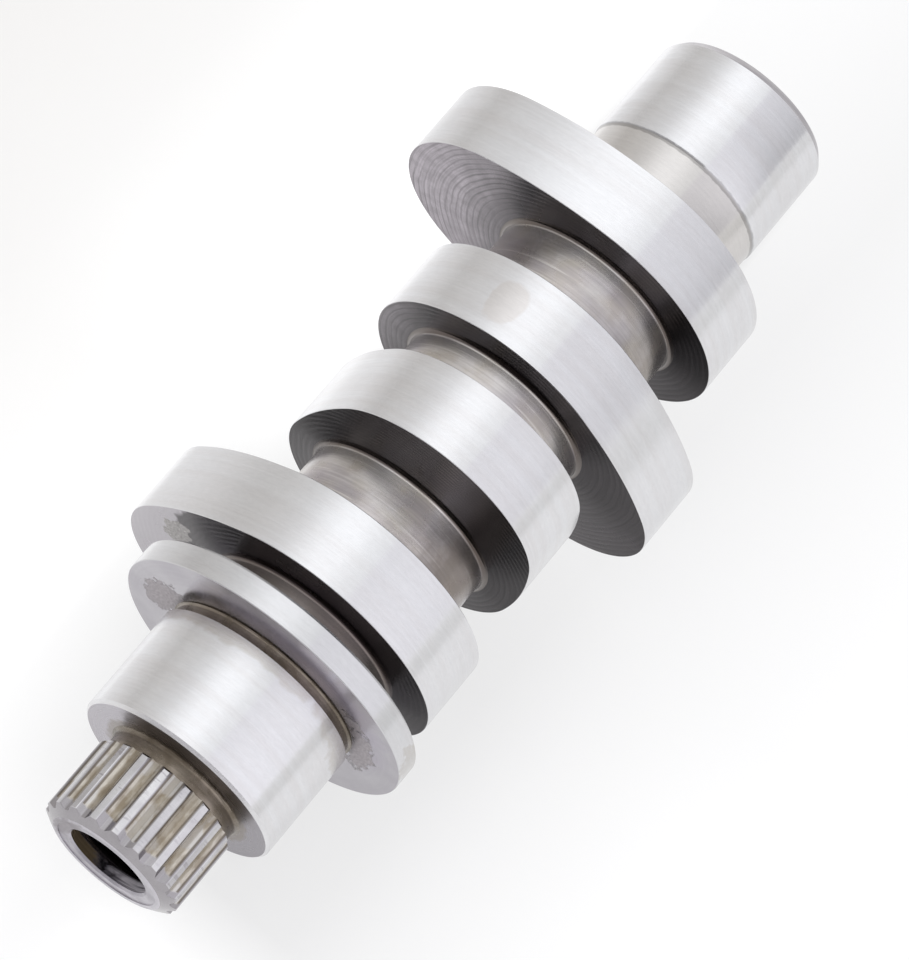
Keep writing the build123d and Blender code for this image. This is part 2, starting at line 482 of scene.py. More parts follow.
def drill_bottom(size):
    """The plain end of the bolt hole with its drill point."""
    piece = new_piece("bolt_bottom")
    bolt = size["bolt_hole_diameter"] / 2
    depth = size["bolt_hole_depth"]
    tip = depth + bolt / tan(radians(DRILL_HALF_ANGLE))
    points = ((size["threaded_length"] + THREAD_RUNOUT, bolt), (depth, bolt), (tip, 0.0))
    draw_chain([(x * MM, radius * MM, 0.0) for x, radius in points])
    spin_round(BORE_POINTS)
    bpy.ops.object.mode_set(mode="OBJECT")
    return piece


def bridge_openings(piece, low, high):
    """Bridges the two open edge loops whose points lie between two places along the axis, in millimetres."""
    bpy.ops.object.mode_set(mode="EDIT")
    bpy.ops.mesh.select_mode(type="EDGE")
    bpy.ops.mesh.select_all(action="DESELECT")
    mesh = bmesh.from_edit_mesh(piece.data)
    for edge in mesh.edges:
        inside = all(low * MM < vertex.co.x < high * MM for vertex in edge.verts)
        edge.select_set(edge.is_boundary and inside)
    bmesh.update_edit_mesh(piece.data)
    bpy.ops.mesh.bridge_edge_loops()
    bpy.ops.object.mode_set(mode="OBJECT")


def add_node(tree, kind, inputs=None, **settings):
    """Adds one node with its settings and its inputs by name or number. An input is a value or a socket."""
    made = tree.nodes.new(kind)
    for key, value in settings.items():
        setattr(made, key, value)
    for key, value in (inputs or {}).items():
        if isinstance(value, bpy.types.NodeSocket):
            tree.links.new(value, made.inputs[key])
        else:
            made.inputs[key].default_value = value
    return made


def maths(tree, operation, *values):
    """The result of one operation on numbers."""
    return add_node(tree, "ShaderNodeMath", dict(enumerate(values)), operation=operation).outputs[0]


def vector_maths(tree, operation, *values):
    """The result of one operation on vectors."""
    made = add_node(tree, "ShaderNodeVectorMath", dict(enumerate(values)), operation=operation)
    return made.outputs["Value" if operation == "LENGTH" else "Vector"]


def split(tree, vector):
    """The three parts of a vector."""
    return add_node(tree, "ShaderNodeSeparateXYZ", {0: vector}).outputs[:]


def empty_tree(owner):
    """The emptied node tree of a material or world."""
    owner.use_nodes = True
    owner.node_tree.nodes.clear()
    return owner.node_tree


def make_material(build, *details):
    """A material named after the function that builds it in the material's emptied tree."""
    material = bpy.data.materials.new(build.__name__)
    build(empty_tree(material), *details)
    return material


def shaft_place(tree):
    """The place on the shaft, all in the shaft's own metres and radians.

    Polar is (along the axis, distance from the axis, angle from the top), outward points from the axis."""
    place = add_node(tree, "ShaderNodeTexCoord").outputs["Object"]
    x, y, z = split(tree, place)
    radial = vector_maths(tree, "MULTIPLY", place, (0, 1, 1))
    outward = vector_maths(tree, "NORMALIZE", radial)
    reach = vector_maths(tree, "LENGTH", radial)
    angle = maths(tree, "ARCTAN2", maths(tree, "MULTIPLY", y, -1.0), z)
    polar = add_node(tree, "ShaderNodeCombineXYZ", {0: x, 1: reach, 2: angle}).outputs[0]
    return {"place": place, "x": x, "r": reach, "polar": polar, "outward": outward}


def cut_lines(tree, at, along, per_mm, wander=1.5, detail=2.0):
    """Fine tool or wheel lines round the axis, from 0 to 1. Along is "x" on round faces and "r" on flat ones."""
    step = maths(tree, "MULTIPLY", at[along], per_mm / MM)
    line = add_node(tree, "ShaderNodeCombineXYZ", {"X": step}).outputs[0]
    drift = shade(tree, at["outward"], wander)
    where = vector_maths(tree, "ADD", line, drift)
    return add_node(tree, "ShaderNodeTexNoise", {"Vector": where, "Scale": 1.0, "Detail": detail}).outputs[0]


def feed_rings(tree, at, pitch, waver):
    """Even rings round the axis, one to each pitch in millimetres, from 0 to 1.

    The wave texture has 20 radians to a unit of its scale."""
    inputs = {"Vector": at["place"], "Scale": 2 * pi / (20 * pitch * MM), "Distortion": waver}
    inputs.update({"Detail": 3.0, "Detail Scale": 0.6})
    rings = add_node(tree, "ShaderNodeTexWave", inputs, wave_type="RINGS", rings_direction="X")
    return rings.outputs["Fac"]


def clouds(tree, at, stretch, detail=3.0):
    """Uneven patches from 0 to 1. Stretch is how many to a millimetre along x, y and z."""
    metres = tuple(value / MM for value in stretch)
    where = vector_maths(tree, "MULTIPLY", at["place"], metres)
    return add_node(tree, "ShaderNodeTexNoise", {"Vector": where, "Scale": 1.0, "Detail": detail}).outputs[0]


def remap(tree, value, low, high, start=0.0, stop=1.0):
    """Value from low to high becomes start to stop, and is held at the ends."""
    inputs = {"Value": value, "From Min": low, "From Max": high, "To Min": start, "To Max": stop}
    return add_node(tree, "ShaderNodeMapRange", inputs).outputs[0]


def multiply(tree, first, second):
    """The product of two masks."""
    return maths(tree, "MULTIPLY", first, second)


def largest(tree, values):
    """The largest of several masks."""
    result = values[0]
    for value in values[1:]:
        result = maths(tree, "MAXIMUM", result, value)
    return result


def patch(tree, at, centre, half, ragged=0.5, soft=0.1, grain=1.2):
    """A stained patch from 0 outside to 1 inside, with a ragged edge.

    Centre and half width are (x in mm, r in mm, degrees from +Y towards +Z); None leaves a direction out."""
    middle = [0.0 if value is None else value * MM for value in centre[:2]]
    middle.append(radians(centre[2] - 90) if centre[2] is not None else 0.0)
    inverse = [0.0 if value is None else 1 / (value * MM) for value in half[:2]]
    inverse.append(0.0 if half[2] is None else 1 / radians(half[2]))
    offset = vector_maths(tree, "SUBTRACT", at["polar"], tuple(middle))
    scaled = vector_maths(tree, "MULTIPLY", offset, tuple(inverse))
    distance = vector_maths(tree, "LENGTH", scaled)
    rough = remap(tree, clouds(tree, at, (grain, grain, grain), 4.0), 0.25, 0.75, -ragged, ragged)
    edge = maths(tree, "ADD", distance, rough)
    return remap(tree, edge, 1.0 + soft, 1.0 - soft)


def tint(tree, base, colour, amount):
    """Base colour mixed towards another by an amount between 0 and 1. A colour is a hex code, values or a socket."""
    inputs = {"Factor": amount, 6: base, 7: colour}
    for number in (6, 7):
        if isinstance(inputs[number], str):
            inputs[number] = linear(inputs[number])
        if not isinstance(inputs[number], bpy.types.NodeSocket):
            inputs[number] = (*inputs[number], 1.0)
    return add_node(tree, "ShaderNodeMix", inputs, data_type="RGBA").outputs[2]


def shade(tree, base, tone):
    """Base colour made lighter or darker by a tone around 1."""
    return add_node(tree, "ShaderNodeVectorMath", {0: base, "Scale": tone}, operation="SCALE").outputs[0]


def vary(tree, base, noise, dark, light):
    """Base colour shaded from dark to light by a noise texture, whose values lie mostly between 0.3 and 0.7."""
    return shade(tree, base, remap(tree, noise, 0.3, 0.7, dark, light))


def between(tree, mask, start, stop):
    """A mask from 0 to 1 turned into values from start to stop."""
    return remap(tree, mask, 0.0, 1.0, start, stop)


def steel_shader(tree, colour, roughness, height, depth, dirt=None, film_and_shade=None, axis=None):
    """A bare metal surface that keeps the default index of refraction. Depth is the relief's in millimetres.

    It is partly matt where the dirt mask says so, which in the bolt hole also takes in its painted highlight and on
    the flange face its painted reflection band. Its sheen at a low angle is dulled by the film_and_shade mask, which
    on the lobe sides is their painted darker side, and its shine is drawn out along the axis where one is given."""
    bump = add_node(tree, "ShaderNodeBump", {"Height": height, "Strength": 1.0, "Distance": depth * MM}).outputs[0]
    inputs = {"Base Color": colour, "Roughness": roughness, "Metallic": 1.0, "Normal": bump}
    if axis is not None:
        inputs.update({"Anisotropic": 0.85, "Tangent": axis})
    if dirt is not None:
        inputs["Metallic"] = between(tree, dirt, 1.0, 0.35)
    if film_and_shade is not None:
        inputs["Specular Tint"] = between(tree, film_and_shade, 1.0, 0.75)
    shader = add_node(tree, "ShaderNodeBsdfPrincipled", inputs)
    add_node(tree, "ShaderNodeOutputMaterial", {"Surface": shader.outputs[0]})


def ground_steel(tree, colours):
    """Cylindrically ground alloy steel: a satin shine, drawn out along the axis by fine lines round the shaft.

    The real wheel lines are finer than a pixel and are drawn at about six to a millimetre."""
    at = shaft_place(tree)
    axis = add_node(tree, "ShaderNodeCombineXYZ", {"X": 1.0}).outputs[0]
    lines = cut_lines(tree, at, "x", 6.0, 1.1, 3.0)
    broad = cut_lines(tree, at, "x", 0.9, 0.5, 1.0)
    grain = clouds(tree, at, (3.0, 0.9, 0.9), 3.0)
    colour = tint(tree, colours.ground_colour, "cfcccc", remap(tree, broad, 0.35, 0.7, 0.0, 0.35))
    oil = largest(tree, [
        patch(tree, at, (28.8, 14.2, 60), (1.5, 3.0, 80), 0.4, 0.15, 0.35),
        patch(tree, at, (28.6, 14.2, 160), (2.4, 3.0, 32), 0.4, 0.15, 0.5),
        patch(tree, at, (33.0, 21.1, 168), (2.2, 2.0, 14), 0.5, 0.1, 0.7),
    ])
    colour = tint(tree, colour, "c0bab3", multiply(tree, oil, remap(tree, grain, 0.3, 0.7, 0.35, 0.65)))
    spot = patch(tree, at, (82.5, None, 68), (3.1, None, 8), 0.15, 0.08, 0.4)
    colour = tint(tree, colour, "d0ccca", between(tree, spot, 0.0, 0.8))
    rim = patch(tree, at, (32.0, None, None), (2.3, None, None), 0.0, 0.05)
    neck = patch(tree, at, (111.4, None, None), (4.15, None, None), 0.0, 0.02)
    colour = shade(tree, colour, between(tree, rim, 1.0, 0.88))
    colour = tint(tree, colour, "cdcac8", neck)
    # Painted shade: a dark line on the neck just before the shoulder, where the step throws shade
    corner = patch(tree, at, (115.42, None, None), (0.28, None, None), 0.3, 0.3)
    colour = shade(tree, colour, between(tree, corner, 1.0, 0.62))
    colour = vary(tree, colour, lines, 0.975, 1.025)
    colour = vary(tree, colour, grain, 0.975, 1.02)
    gloss = remap(tree, lines, 0.3, 0.7, 0.2, 0.24)
    steel_shader(tree, colour, gloss, lines, 0.0009, axis=axis)


def ground_flange_face(tree, colours):
    """Face ground across its flat: smoother and a little darker than the rims, with dried oil left in patches and a
    painted darker reflection over its upper part.
    """
    at = shaft_place(tree)
    rings = cut_lines(tree, at, "r", 3.0, 1.5)
    uneven = clouds(tree, at, (0.1, 0.12, 0.12))
    colour = tint(tree, "b7b4b9", "a5a1a8", remap(tree, uneven, 0.3, 0.7))
    # Painted reflection: a darker lilac band over the upper part of the face, made partly matt
    painted_reflection_band = patch(tree, at, (None, 16.5, 108), (None, 3.0, 55), 0.35, 0.5, 0.25)
    colour = tint(tree, colour, "a59fab", painted_reflection_band)
    crust = largest(tree, [
        patch(tree, at, (None, 15.9, 0), (None, 2.6, 17), 0.4, 0.07, 0.9),
        patch(tree, at, (None, 15.4, 164), (None, 1.7, 28), 0.45, 0.1, 0.9),
    ])
    speckle = clouds(tree, at, (3.0, 3.0, 3.0))
    dirt = tint(tree, "918a8e", "b0aaad", remap(tree, speckle, 0.35, 0.65))
    colour = tint(tree, colour, dirt, crust)
    outline = multiply(tree, crust, between(tree, crust, 1.0, 0.0))
    colour = shade(tree, colour, remap(tree, outline, 0.0, 0.25, 1.0, 0.6))
    colour = vary(tree, colour, rings, 0.97, 1.03)
    gloss = maths(tree, "MULTIPLY_ADD", crust, 0.22, 0.2)
    matt = largest(tree, [between(tree, crust, 0.0, 0.6), between(tree, painted_reflection_band, 0.0, 0.5)])
    steel_shader(tree, colour, gloss, multiply(tree, crust, speckle), 0.02, dirt=matt)


def ground_seat(tree, colours):
    """Face turned and ground for the gear: satin with faint rings, oil at its inner edge, painted light on the +Y
    side and a painted dark reflection over its upper part.
    """
    at = shaft_place(tree)
    rings = cut_lines(tree, at, "r", 4.0, 1.0)
    stain = patch(tree, at, (None, 9.8, 90), (None, 1.0, 400), 0.4, 0.3, 0.8)
    # Painted light: the side towards +Y is lighter
    pale = patch(tree, at, (None, 12.2, 2), (None, 6.0, 56), 0.1, 0.35, 0.3)
    colour = tint(tree, "88848a", "b0acb2", pale)
    colour = tint(tree, colour, colours.stain_colour, between(tree, stain, 0.0, 0.5))
    # Painted reflection: a darker patch over the upper part of the face
    film_and_shade = patch(tree, at, (None, 11.4, 92), (None, 3.3, 50), 0.15, 0.25, 0.3)
    colour = tint(tree, colour, "777170", film_and_shade)
    colour = vary(tree, colour, rings, 0.94, 1.05)
    steel_shader(tree, colour, remap(tree, rings, 0.3, 0.7, 0.25, 0.33), rings, 0.003)


def turned_neck(tree, colours):
    """Turned neck as the lathe tool left it: grey-brown from heat, with fine scratches, painted shade in its fillet
    corners and on the -Y side of two necks, and a painted highlight along the top of the neck between the first two
    lobes.
    """
    at = shaft_place(tree)
    lines = cut_lines(tree, at, "x", 3.4, 1.2, 3.0)
    scratches = remap(tree, cut_lines(tree, at, "x", 2.4, 0.8, 1.0), 0.66, 0.69)
    blotch = clouds(tree, at, (0.25, 0.2, 0.2), 6.0)
    colour = tint(tree, colours.turned_colour, "aaa193", remap(tree, blotch, 0.42, 0.62, 0.0, 0.5))
    cool = clouds(tree, at, (0.22, 0.12, 0.12), 3.0)
    colour = tint(tree, colour, "a09aa0", remap(tree, cool, 0.45, 0.7, 0.0, 0.7))
    colour = vary(tree, colour, lines, 0.88, 1.1)
    colour = tint(tree, colour, "d8d4d0", between(tree, scratches, 0.0, 0.5))
    # Painted highlight: the top of the neck between the first two lobes is made lighter
    pale = patch(tree, at, (53.7, 13.0, 95), (8.0, 3.0, 26), 0.1, 0.5, 0.1)
    colour = shade(tree, colour, between(tree, pale, 1.0, 1.27))
    # Browned next to the flange, with painted shade on the -Y side of the necks between lobes 1 and 2 and between
    # lobes 3 and 4
    browned_and_painted_shade = largest(tree, [
        remap(tree, at["x"], 39.0 * MM, 38.4 * MM, 0.0, 0.8),
        between(tree, patch(tree, at, (92.5, 13.0, 148), (8.0, 3.0, 20), 0.3, 0.5, 0.25), 0.0, 0.45),
        between(tree, patch(tree, at, (53.7, 13.0, 138), (8.0, 3.0, 26), 0.35, 0.4, 0.25), 0.0, 0.75),
    ])
    colour = tint(tree, colour, "6b615c", browned_and_painted_shade)
    # Painted shade: the fillet rings where the necks meet the lobes are darkened so that they catch less light
    corner = remap(tree, at["r"], 13.055 * MM, 13.14 * MM, 0.0, 0.9)
    colour = tint(tree, colour, "544b46", corner)
    gloss = remap(tree, blotch, 0.3, 0.7, 0.2, 0.3)
    steel_shader(tree, colour, gloss, lines, 0.003)


def oxide_and_shade_lobe_side(tree, colours):
    """Lobe side: turned with a coarse feed, about one ring to a millimetre, and dark: partly an oxide layer from
    heat treatment and partly painted shade that stands for the dark gaps between the lobes.

    Pale patches at the noses are painted reflection of the open table; the side towards -Y is painted darker."""
    at = shaft_place(tree)
    rings = feed_rings(tree, at, 0.86, 2.8)
    fine = cut_lines(tree, at, "r", 4.5, 1.6, 2.0)
    film_and_shade = clouds(tree, at, (0.12, 0.12, 0.12), 4.0)
    depth = remap(tree, clouds(tree, at, (0.08, 0.09, 0.09), 2.0), 0.35, 0.65, 0.35, 1.0)
    # Dark colour: partly the oxide layer, partly painted shade for the dark gaps between the lobes
    colour = tint(tree, colours.oxide_colour, "4d484b", remap(tree, film_and_shade, 0.4, 0.7, 0.0, 0.7))
    # Painted reflection: pale patches at the noses of the last two lobes, where the side mirrors the open table
    painted_nose_reflection = largest(tree, [
        patch(tree, at, (97.0, 25.5, -14), (2.0, 10.5, 53), 0.12, 0.42, 0.15),
        between(tree, patch(tree, at, (77.6, 18.5, -4), (2.0, 3.4, 26), 0.2, 0.4, 0.3), 0.0, 0.45),
    ])
    scored = remap(tree, clouds(tree, at, (0.35, 0.5, 0.5), 5.0), 0.35, 0.6, 0.75, 1.0)
    colour = tint(tree, colour, "908a90", multiply(tree, painted_nose_reflection, scored))
    # Painted shade: the side towards -Y is darker and its low-angle sheen duller
    painted_dark_side = patch(tree, at, (None, None, 160), (None, None, 46), 0.1, 0.5, 0.1)
    colour = shade(tree, colour, between(tree, painted_dark_side, 1.0, 0.75))
    groove = multiply(tree, remap(tree, rings, 0.35, 0.0), depth)
    colour = shade(tree, colour, between(tree, groove, 1.05, 0.55))
    colour = vary(tree, colour, fine, 0.82, 1.18)
    # Painted reflection: a pale patch at the nose of the first lobe
    bare = patch(tree, at, (38.85, 25.3, -14), (2.0, 4.9, 50), 0.12, 0.06, 0.4)
    colour = tint(tree, colour, "aba7ac", bare)
    speckle = clouds(tree, at, (2.5, 2.5, 2.5), 4.0)
    crust = patch(tree, at, (38.85, 19.9, -8), (2.0, 2.1, 10), 0.35, 0.05, 0.6)
    dirt = tint(tree, "7c7876", "aca8a6", remap(tree, speckle, 0.35, 0.65))
    colour = tint(tree, colour, dirt, crust)
    height = maths(tree, "MULTIPLY_ADD", fine, 0.3, rings)
    gloss = remap(tree, film_and_shade, 0.3, 0.7, 0.2, 0.28)
    matt = between(tree, crust, 0.0, 0.6)
    steel_shader(tree, colour, gloss, height, 0.008, dirt=matt, film_and_shade=painted_dark_side)


def stained_corner(tree, colours):
    """Groove or corner that the wheel leaves alone: turned steel under dried brown oil."""
    at = shaft_place(tree)
    uneven = clouds(tree, at, (0.5, 0.3, 0.3), 4.0)
    lines = cut_lines(tree, at, "x", 4.5, 1.2)
    colour = tint(tree, "968d84", "524736", remap(tree, uneven, 0.35, 0.65, 0.3, 0.8))
    colour = vary(tree, colour, lines, 0.85, 1.12)
    matt = remap(tree, uneven, 0.4, 0.65, 0.0, 0.35)
    steel_shader(tree, colour, remap(tree, uneven, 0.3, 0.7, 0.2, 0.32), lines, 0.002, dirt=matt)


def cut_spline(tree, colours):
    """Broached spline: bare steel on the lands with small cross marks, dried brown oil in the gaps."""
    at = shaft_place(tree)
    streaks = clouds(tree, at, (0.5, 1.2, 1.2), 5.0)
    patches = clouds(tree, at, (0.22, 0.3, 0.3), 4.0)
    bare = tint(tree, "c9c8ca", "b5b3b6", remap(tree, patches, 0.35, 0.65))
    marks = remap(tree, cut_lines(tree, at, "x", 3.0, 5.0, 0.0), 0.56, 0.60)
    groups = remap(tree, clouds(tree, at, (0.35, 0.3, 0.3), 1.0), 0.5, 0.6, 0.05, 0.5)
    land = remap(tree, at["r"], 10.03 * MM, 10.08 * MM)
    colour = tint(tree, bare, "98949a", multiply(tree, multiply(tree, marks, groups), land))
    # Painted shade: the teeth's flanks are darker than their lands
    flank = remap(tree, at["r"], 10.07 * MM, 10.0 * MM, 0.0, 0.75)
    colour = tint(tree, colour, "8f8b8e", flank)
    gap = remap(tree, at["r"], 9.92 * MM, 9.76 * MM)
    run = remap(tree, at["x"], 1.2 * MM, 3.2 * MM, -0.34, 0.16)
    reach = maths(tree, "ADD", patches, run)
    dirty = multiply(tree, gap, remap(tree, reach, 0.34, 0.42))
    oil = tint(tree, "9c9284", "c6c0b6", remap(tree, streaks, 0.38, 0.6))
    residue = remap(tree, patches, 0.5, 0.57, 0.0, 0.8)
    oil = tint(tree, oil, "cbc9c7", residue)
    root = remap(tree, at["r"], 9.5 * MM, 9.38 * MM, 0.0, 0.5)
    oil = tint(tree, oil, colours.stain_colour, root)
    colour = tint(tree, colour, oil, dirty)
    tide = multiply(tree, remap(tree, at["r"], 9.98 * MM, 9.88 * MM), remap(tree, at["r"], 9.68 * MM, 9.76 * MM))
    tide = multiply(tree, tide, remap(tree, reach, 0.36, 0.42, 0.0, 0.8))
    colour = tint(tree, colour, "5b5145", tide)
    gloss = maths(tree, "MULTIPLY_ADD", dirty, 0.14, 0.22)
    matt = between(tree, dirty, 0.0, 0.6)
    steel_shader(tree, colour, gloss, multiply(tree, dirty, streaks), 0.03, dirt=matt)


def faced_nose(tree, colours):
    """Faced end: dull grey turned steel, with a rubbed pale rim and oil round the mouth of the hole."""
    at = shaft_place(tree)
    rings = cut_lines(tree, at, "r", 2.4, 2.0)
    mottle = clouds(tree, at, (0.5, 0.5, 0.5), 4.0)
    colour = tint(tree, "b4b1b7", "a09da3", remap(tree, mottle, 0.35, 0.65))
    rim = remap(tree, at["r"], 7.45 * MM, 7.6 * MM)
    colour = tint(tree, colour, "bdbac0", between(tree, rim, 0.0, 0.7))
    oil = patch(tree, at, (None, 7.0, 12), (None, 1.5, 34), 0.6, 0.3, 1.0)
    colour = tint(tree, colour, "7d767a", between(tree, oil, 0.0, 0.75))
    colour = vary(tree, colour, rings, 0.93, 1.06)
    steel_shader(tree, colour, remap(tree, mottle, 0.3, 0.7, 0.3, 0.4), rings, 0.004)


def tapped_bore(tree, colours):
    """Bored and tapped hole: tool lines with a painted highlight on one side of the mouth, dried oil in the mouth,
    and darker past the mouth.
    """
    at = shaft_place(tree)
    lines = cut_lines(tree, at, "x", 4.0, 0.6, 2.0)
    uneven = clouds(tree, at, (0.9, 0.7, 0.7), 4.0)
    mouth = remap(tree, at["x"], 2.1 * MM, 1.85 * MM)
    left = maths(tree, "ADD", split(tree, at["outward"])[1], uneven)
    oil = multiply(tree, mouth, remap(tree, left, 0.55, 0.8))
    # Painted highlight: pale tool lines on one side of the mouth, made partly matt
    bright = multiply(tree, mouth, remap(tree, left, 0.45, 0.0))
    # Darker past the mouth than in it
    colour = tint(tree, "3e3a3b", "85808a", mouth)
    colour = tint(tree, colour, "d0ccd2", multiply(tree, bright, remap(tree, lines, 0.42, 0.56, 0.25, 1.0)))
    colour = tint(tree, colour, "70624d", oil)
    colour = shade(tree, colour, remap(tree, lines, 0.35, 0.65, 0.75, 1.2))
    gloss = between(tree, bright, 0.25, 0.42)
    steel_shader(tree, colour, gloss, lines, 0.02, dirt=largest(tree, [oil, bright]))


def faced_plain_end(tree, colours):
    """Faced plain end with its lathe centre: turned rings, a little darker than the ground journal."""
    at = shaft_place(tree)
    rings = cut_lines(tree, at, "r", 2.6, 1.5)
    colour = tint(tree, "b5b2b4", "99959a", remap(tree, rings, 0.3, 0.7))
    steel_shader(tree, colour, remap(tree, rings, 0.3, 0.7, 0.26, 0.36), rings, 0.006)


MATERIALS = (
    tapped_bore,
    faced_nose,
    cut_spline,
    stained_corner,
    ground_seat,
    ground_steel,
    ground_flange_face,
    turned_neck,
    oxide_and_shade_lobe_side,
    faced_plain_end,
)

# The piece's material slots are in the same order
FINISHES = [build.__name__ for build in MATERIALS]

# A colour ramp holds no level over 1, so the levels in it are divided by this
RAMP_FULL = 2.0


def ramp_node(tree, value, low, high, stops):
    """Colours by a value that runs from low to high. Each stop is (value, level, warmth)."""
    share = remap(tree, value, low, high)
    ramp = add_node(tree, "ShaderNodeValToRGB", {"Fac": share})
    elements = ramp.color_ramp.elements
    elements.remove(elements[1])
    for number, (value, level, warmth) in enumerate(stops):
        place = (value - low) / (high - low)
        stop = elements[0] if number == 0 else elements.new(place)
        stop.position = place
        level /= RAMP_FULL
        stop.color = (level * (1 + 0.02 * warmth), level, level * (1 - 0.025 * warmth), 1.0)
    return ramp.outputs["Color"]


def white_laminate(tree):
    """White light table, the same in the picture and in the steel, with a soft shadow, a tone painted lighter and
    darker by place, and a painted shadow under the shaft.

    Its painted tone across the shaft has three parts: before the splined end, beside the spline and beyond it."""
    paint = add_node(tree, "ShaderNodeBsdfDiffuse", {"Color": (0.8, 0.8, 0.8, 1.0)}).outputs[0]
    place = add_node(tree, "ShaderNodeTexCoord").outputs["Object"]
    along, across = split(tree, place)[:2]
    # Painted light and shade on the table: bright bands beside the shaft towards +Y, darker zones towards -Y and far
    # off
    before = ramp_node(tree, across, -0.5, 0.5, (
        (-0.1, 0.95, 0.0), (-0.03, 1.0, 0.0), (-0.008, 1.05, 0.0), (0.002, 0.95, 0.0), (0.03, 1.0, 0.0),
        (0.06, 0.96, 0.3), (0.1, 0.82, 0.8), (0.2, 0.72, 1.0), (0.4, 0.70, 1.0),
    ))
    beside = ramp_node(tree, across, -0.5, 0.5, (
        (-0.12, 1.0, 0.0), (-0.06, 0.98, 0.0), (-0.034, 0.89, 0.0), (-0.024, 0.83, 0.0), (-0.012, 0.82, 0.0),
        (0.0, 0.9, 0.0), (0.012, 0.92, 0.0), (0.025, 1.0, 0.0), (0.032, 1.2, 0.0), (0.04, 0.98, 0.2),
        (0.06, 0.90, 0.4), (0.1, 0.80, 0.9), (0.2, 0.70, 1.0), (0.4, 0.70, 1.0),
    ))
    beyond = ramp_node(tree, across, -0.5, 0.5, (
        (-0.12, 1.0, 0.0), (-0.06, 0.95, 0.0), (-0.024, 0.87, 0.0), (0.0, 0.93, 0.0), (0.012, 0.95, 0.0),
        (0.02, 1.15, 0.0), (0.031, 1.25, 0.0), (0.038, 1.05, 0.1), (0.06, 0.91, 0.3), (0.1, 0.82, 0.8),
        (0.2, 0.72, 1.0), (0.4, 0.70, 1.0),
    ))
    lit = tint(tree, before, beside, remap(tree, along, -0.064, -0.052))
    lit = tint(tree, lit, beyond, remap(tree, along, -0.01, 0.01))
    # Painted shadow: a darker strip under the shaft
    under = remap(tree, maths(tree, "ABSOLUTE", across), 0.014, 0.004)
    under = multiply(tree, under, remap(tree, along, -0.049, -0.032))
    under = multiply(tree, under, remap(tree, along, 0.076, 0.058))
    lit = shade(tree, lit, between(tree, under, 1.0, 0.2))
    # Most of the tone is a glow of its own, and the rest takes the object's shadow
    glow = add_node(tree, "ShaderNodeEmission", {"Color": lit, "Strength": 0.8 * RAMP_FULL}).outputs[0]
    shadowed = add_node(tree, "ShaderNodeBsdfDiffuse", {"Color": shade(tree, lit, 0.26 * RAMP_FULL)}).outputs[0]
    seen = add_node(tree, "ShaderNodeAddShader", {0: glow, 1: shadowed}).outputs[0]
    path = add_node(tree, "ShaderNodeLightPath")
    shown = largest(tree, [path.outputs[key] for key in ("Is Camera Ray", "Is Glossy Ray", "Is Transmission Ray")])
    mixed = add_node(tree, "ShaderNodeMixShader", {0: shown, 1: paint, 2: seen}).outputs[0]
    add_node(tree, "ShaderNodeOutputMaterial", {"Surface": mixed})


def grey_cloth(tree):
    """Pale grey cloth behind the camera, which the gaps between the lobes mirror."""
    cloth = add_node(tree, "ShaderNodeBsdfDiffuse", {"Color": (0.68, 0.67, 0.68, 1.0)}).outputs[0]
    add_node(tree, "ShaderNodeOutputMaterial", {"Surface": cloth})


def tent_wall(tree):
    """Side wall of the tent, brighter beside the splined end: hidden from the camera, seen in the steel."""
    place = add_node(tree, "ShaderNodeTexCoord").outputs["Object"]
    along, across = split(tree, place)[:2]
    middle = remap(tree, across, -0.26, 0.26, 1.04, 0.9)
    fall = remap(tree, across, -0.26, 0.26, -0.4, -3.8)
    level = maths(tree, "MULTIPLY_ADD", along, fall, middle)
    level = remap(tree, level, 0.5, 1.3, 0.5, 1.3)
    glow = add_node(tree, "ShaderNodeEmission", {"Strength": level, "Color": (0.985, 0.98, 1.02, 1.0)}).outputs[0]
    add_node(tree, "ShaderNodeOutputMaterial", {"Surface": glow})


def studio_world():
    """Soft white studio tent, the same for the picture and the steel: brightest overhead, darker low on the left."""
    world = bpy.data.worlds.new("studio")
    tree = empty_tree(world)
    towards = add_node(tree, "ShaderNodeTexCoord").outputs["Generated"]
    across, up = split(tree, towards)[1:]
    angle = maths(tree, "ARCTAN2", up, across)
    degrees = maths(tree, "MULTIPLY", angle, 180 / pi)
    tent = ramp_node(tree, degrees, -180, 180, (
        (-180, 0.9, 0.0), (-90, 1.0, 0.0), (-20, 0.68, 1.0), (0, 0.74, 1.0), (12, 0.79, 0.8), (26, 0.84, 0.4),
        (38, 0.97, 0.0), (50, 1.2, -0.3), (62, 1.38, -0.5), (76, 1.38, -0.5), (92, 1.16, -0.5), (104, 1.1, -0.6),
        (148, 0.95, -0.8), (164, 0.88, -1.0), (167, 0.97, 0.0), (180, 0.92, 0.0),
    ))
    around = add_node(tree, "ShaderNodeBackground", {"Color": tent, "Strength": RAMP_FULL}).outputs[0]
    add_node(tree, "ShaderNodeOutputWorld", {"Surface": around})
    return world


def hang_sheet(name, place, turn, scale, finish):
    """A sheet of the studio that the steel mirrors. It is hidden from the camera and casts no shadow."""
    bpy.ops.object.select_all(action="DESELECT")
    bpy.ops.mesh.primitive_plane_add(size=1.0, location=place, rotation=turn)
    sheet = bpy.context.object
    sheet.name = name
    sheet.scale = scale
    bpy.ops.object.transform_apply(location=False, rotation=False, scale=True)
    sheet.data.materials.append(make_material(finish))
    sheet.visible_camera = False
    sheet.visible_shadow = False
    return sheet


